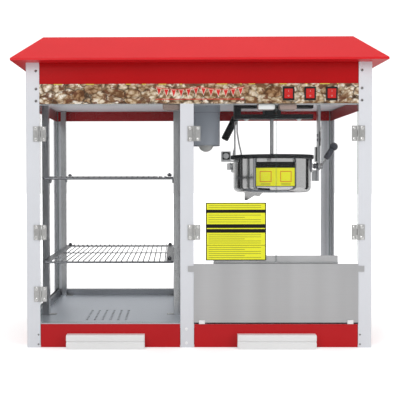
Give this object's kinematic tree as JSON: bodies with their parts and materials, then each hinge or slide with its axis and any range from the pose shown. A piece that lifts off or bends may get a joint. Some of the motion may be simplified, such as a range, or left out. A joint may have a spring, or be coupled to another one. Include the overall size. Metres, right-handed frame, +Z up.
{
  "type": "popcorn maker",
  "caption": "Roofed glass popcorn cabinet with a tilting stirred kettle, hinged doors, a warming side with wire shelves and crumb drawers.",
  "frame": {"origin": "on the ground under the middle of the roof's outline", "axes": "+Z up, -Y is the front with the doors, +X towards the popping side"},
  "size_m": [0.878, 0.44, 0.745],
  "materials": {
    "painted_white": "satin white powder coat",
    "painted_red": "gloss red powder coat",
    "stainless": "brushed",
    "bright_steel": "polished",
    "clear_glass": "clear",
    "printed_sheet": "printed popped corn texture",
    "white_plastic": "moulded",
    "black_plastic": "moulded",
    "black_metal": "black enamel",
    "grey_metal": "grey enamel",
    "dark_metal": "dark grey",
    "red_plastic": "moulded",
    "frosted_glass": "frosted",
    "brown_plastic": "moulded"
  },
  "bodies": {
    "cabinet": {"post_front_left": "painted_white", "post_front_right": "painted_white", "post_rear_left": "painted_white", "post_rear_right": "painted_white", "post_centre_front": "painted_white", "post_centre_rear": "painted_white", "roof": "painted_red", "fascia_front": "painted_red", "fascia_rear": "painted_red", "fascia_sides": "painted_red", "print_panel": "printed_sheet", "ceiling_plate": "painted_white", "base_frame": "painted_red", "warmer_floor": "stainless", "popper_floor": "stainless", "glass_sills": "dark_metal", "glass_sides": "clear_glass", "glass_rears": "clear_glass", "divider_glass": "clear_glass", "hinge_fixed_leaves": "stainless", "magnetic_catches": "brown_plastic", "shelf_uprights": "stainless", "wire_shelves": "bright_steel", "shelf_clips": "dark_metal", "front_guard": "stainless", "guard_clips": "white_plastic", "lamp_can": "grey_metal", "lamp_bulb": "frosted_glass", "warming_element": "stainless", "cord_gland": "black_plastic", "hanger_frame": "black_metal", "gear_housing": "black_metal", "stir_motor": "grey_metal", "hanger_left": "stainless", "hanger_right": "stainless", "switch_bezels": "black_plastic"},
    "warmer_door": {"warmer_door": "clear_glass", "warmer_door_leaves": "stainless"},
    "popper_left_door": {"popper_left_door": "clear_glass", "popper_left_door_leaves": "stainless"},
    "popper_right_door": {"popper_right_door": "clear_glass", "popper_right_door_leaves": "stainless"},
    "warmer_drawer": {"warmer_drawer": "painted_red", "warmer_drawer_handle": "white_plastic"},
    "popper_drawer": {"popper_drawer": "painted_red", "popper_drawer_handle": "white_plastic"},
    "kettle": {"kettle_pot": "bright_steel", "kettle_lid_rear": "black_metal", "lid_bail": "stainless", "kettle_terminal": "grey_metal", "kettle_handle_rod": "stainless", "kettle_grip": "black_plastic"},
    "lid_flap": {"kettle_lid_front": "bright_steel"},
    "stirrer": {"stirrer": "stainless"},
    "shaft_lift": {"lift_collar": "stainless"},
    "shaft": {"stir_shaft": "stainless"},
    "lever": {"lift_lever": "black_plastic"},
    "rocker_1": {"switch_rocker_1": "red_plastic"},
    "rocker_2": {"switch_rocker_2": "red_plastic"},
    "rocker_3": {"switch_rocker_3": "red_plastic"}
  },
  "joints": [
    {"name": "warmer_door_hinge", "type": "hinge", "parent": "cabinet", "child": "warmer_door", "pos_m": [-0.37725, -0.19121, 0.275], "axis": [0, 0, -1], "range_deg": [0, 110]},
    {"name": "popper_left_door_hinge", "type": "hinge", "parent": "cabinet", "child": "popper_left_door", "pos_m": [-0.01125, -0.19121, 0.275], "axis": [0, 0, -1], "range_deg": [0, 110]},
    {"name": "popper_right_door_hinge", "type": "hinge", "parent": "cabinet", "child": "popper_right_door", "pos_m": [0.37725, -0.19121, 0.275], "axis": [0, 0, 1], "range_deg": [0, 110]},
    {"name": "warmer_drawer_slide", "type": "slide", "parent": "cabinet", "child": "warmer_drawer", "axis": [0, -1, 0], "range_m": [0, 0.25]},
    {"name": "popper_drawer_slide", "type": "slide", "parent": "cabinet", "child": "popper_drawer", "axis": [0, -1, 0], "range_m": [0, 0.25]},
    {"name": "kettle_tilt", "type": "hinge", "parent": "cabinet", "child": "kettle", "pos_m": [0.2025, 0, 0.435], "axis": [1, 0, 0], "range_deg": [0, 90]},
    {"name": "lid_flap_hinge", "type": "hinge", "parent": "kettle", "child": "lid_flap", "pos_m": [0.2025, 0, 0.4635], "axis": [-1, 0, 0], "range_deg": [0, 60]},
    {"name": "stirrer_spin", "type": "hinge", "parent": "kettle", "child": "stirrer", "pos_m": [0.2025, 0, 0.393], "axis": [0, 0, 1], "continuous": true},
    {"name": "shaft_lift", "type": "slide", "parent": "cabinet", "child": "shaft_lift", "axis": [0, 0, 1], "range_m": [0, 0.111]},
    {"name": "shaft_spin", "type": "hinge", "parent": "shaft_lift", "child": "shaft", "pos_m": [0.2025, 0, 0.6], "axis": [0, 0, 1], "continuous": true},
    {"name": "lift_lever_swing", "type": "hinge", "parent": "cabinet", "child": "lever", "pos_m": [0.1159, 0.052, 0.578], "axis": [0, 1, 0], "range_deg": [0, 48]},
    {"name": "switch_1_rock", "type": "hinge", "parent": "cabinet", "child": "rocker_1", "pos_m": [0.212, -0.1855, 0.603], "axis": [-1, 0, 0], "range_deg": [0, 8]},
    {"name": "switch_2_rock", "type": "hinge", "parent": "cabinet", "child": "rocker_2", "pos_m": [0.263, -0.1855, 0.603], "axis": [-1, 0, 0], "range_deg": [0, 8]},
    {"name": "switch_3_rock", "type": "hinge", "parent": "cabinet", "child": "rocker_3", "pos_m": [0.314, -0.1855, 0.603], "axis": [-1, 0, 0], "range_deg": [0, 8]}
  ],
  "couplings": [
    {"joint": "shaft_lift", "follows": "kettle_tilt", "m_per_rad": 0.07},
    {"joint": "lift_lever_swing", "follows": "kettle_tilt", "ratio": 0.5},
    {"joint": "shaft_spin", "follows": "stirrer_spin", "ratio": 1}
  ]
}
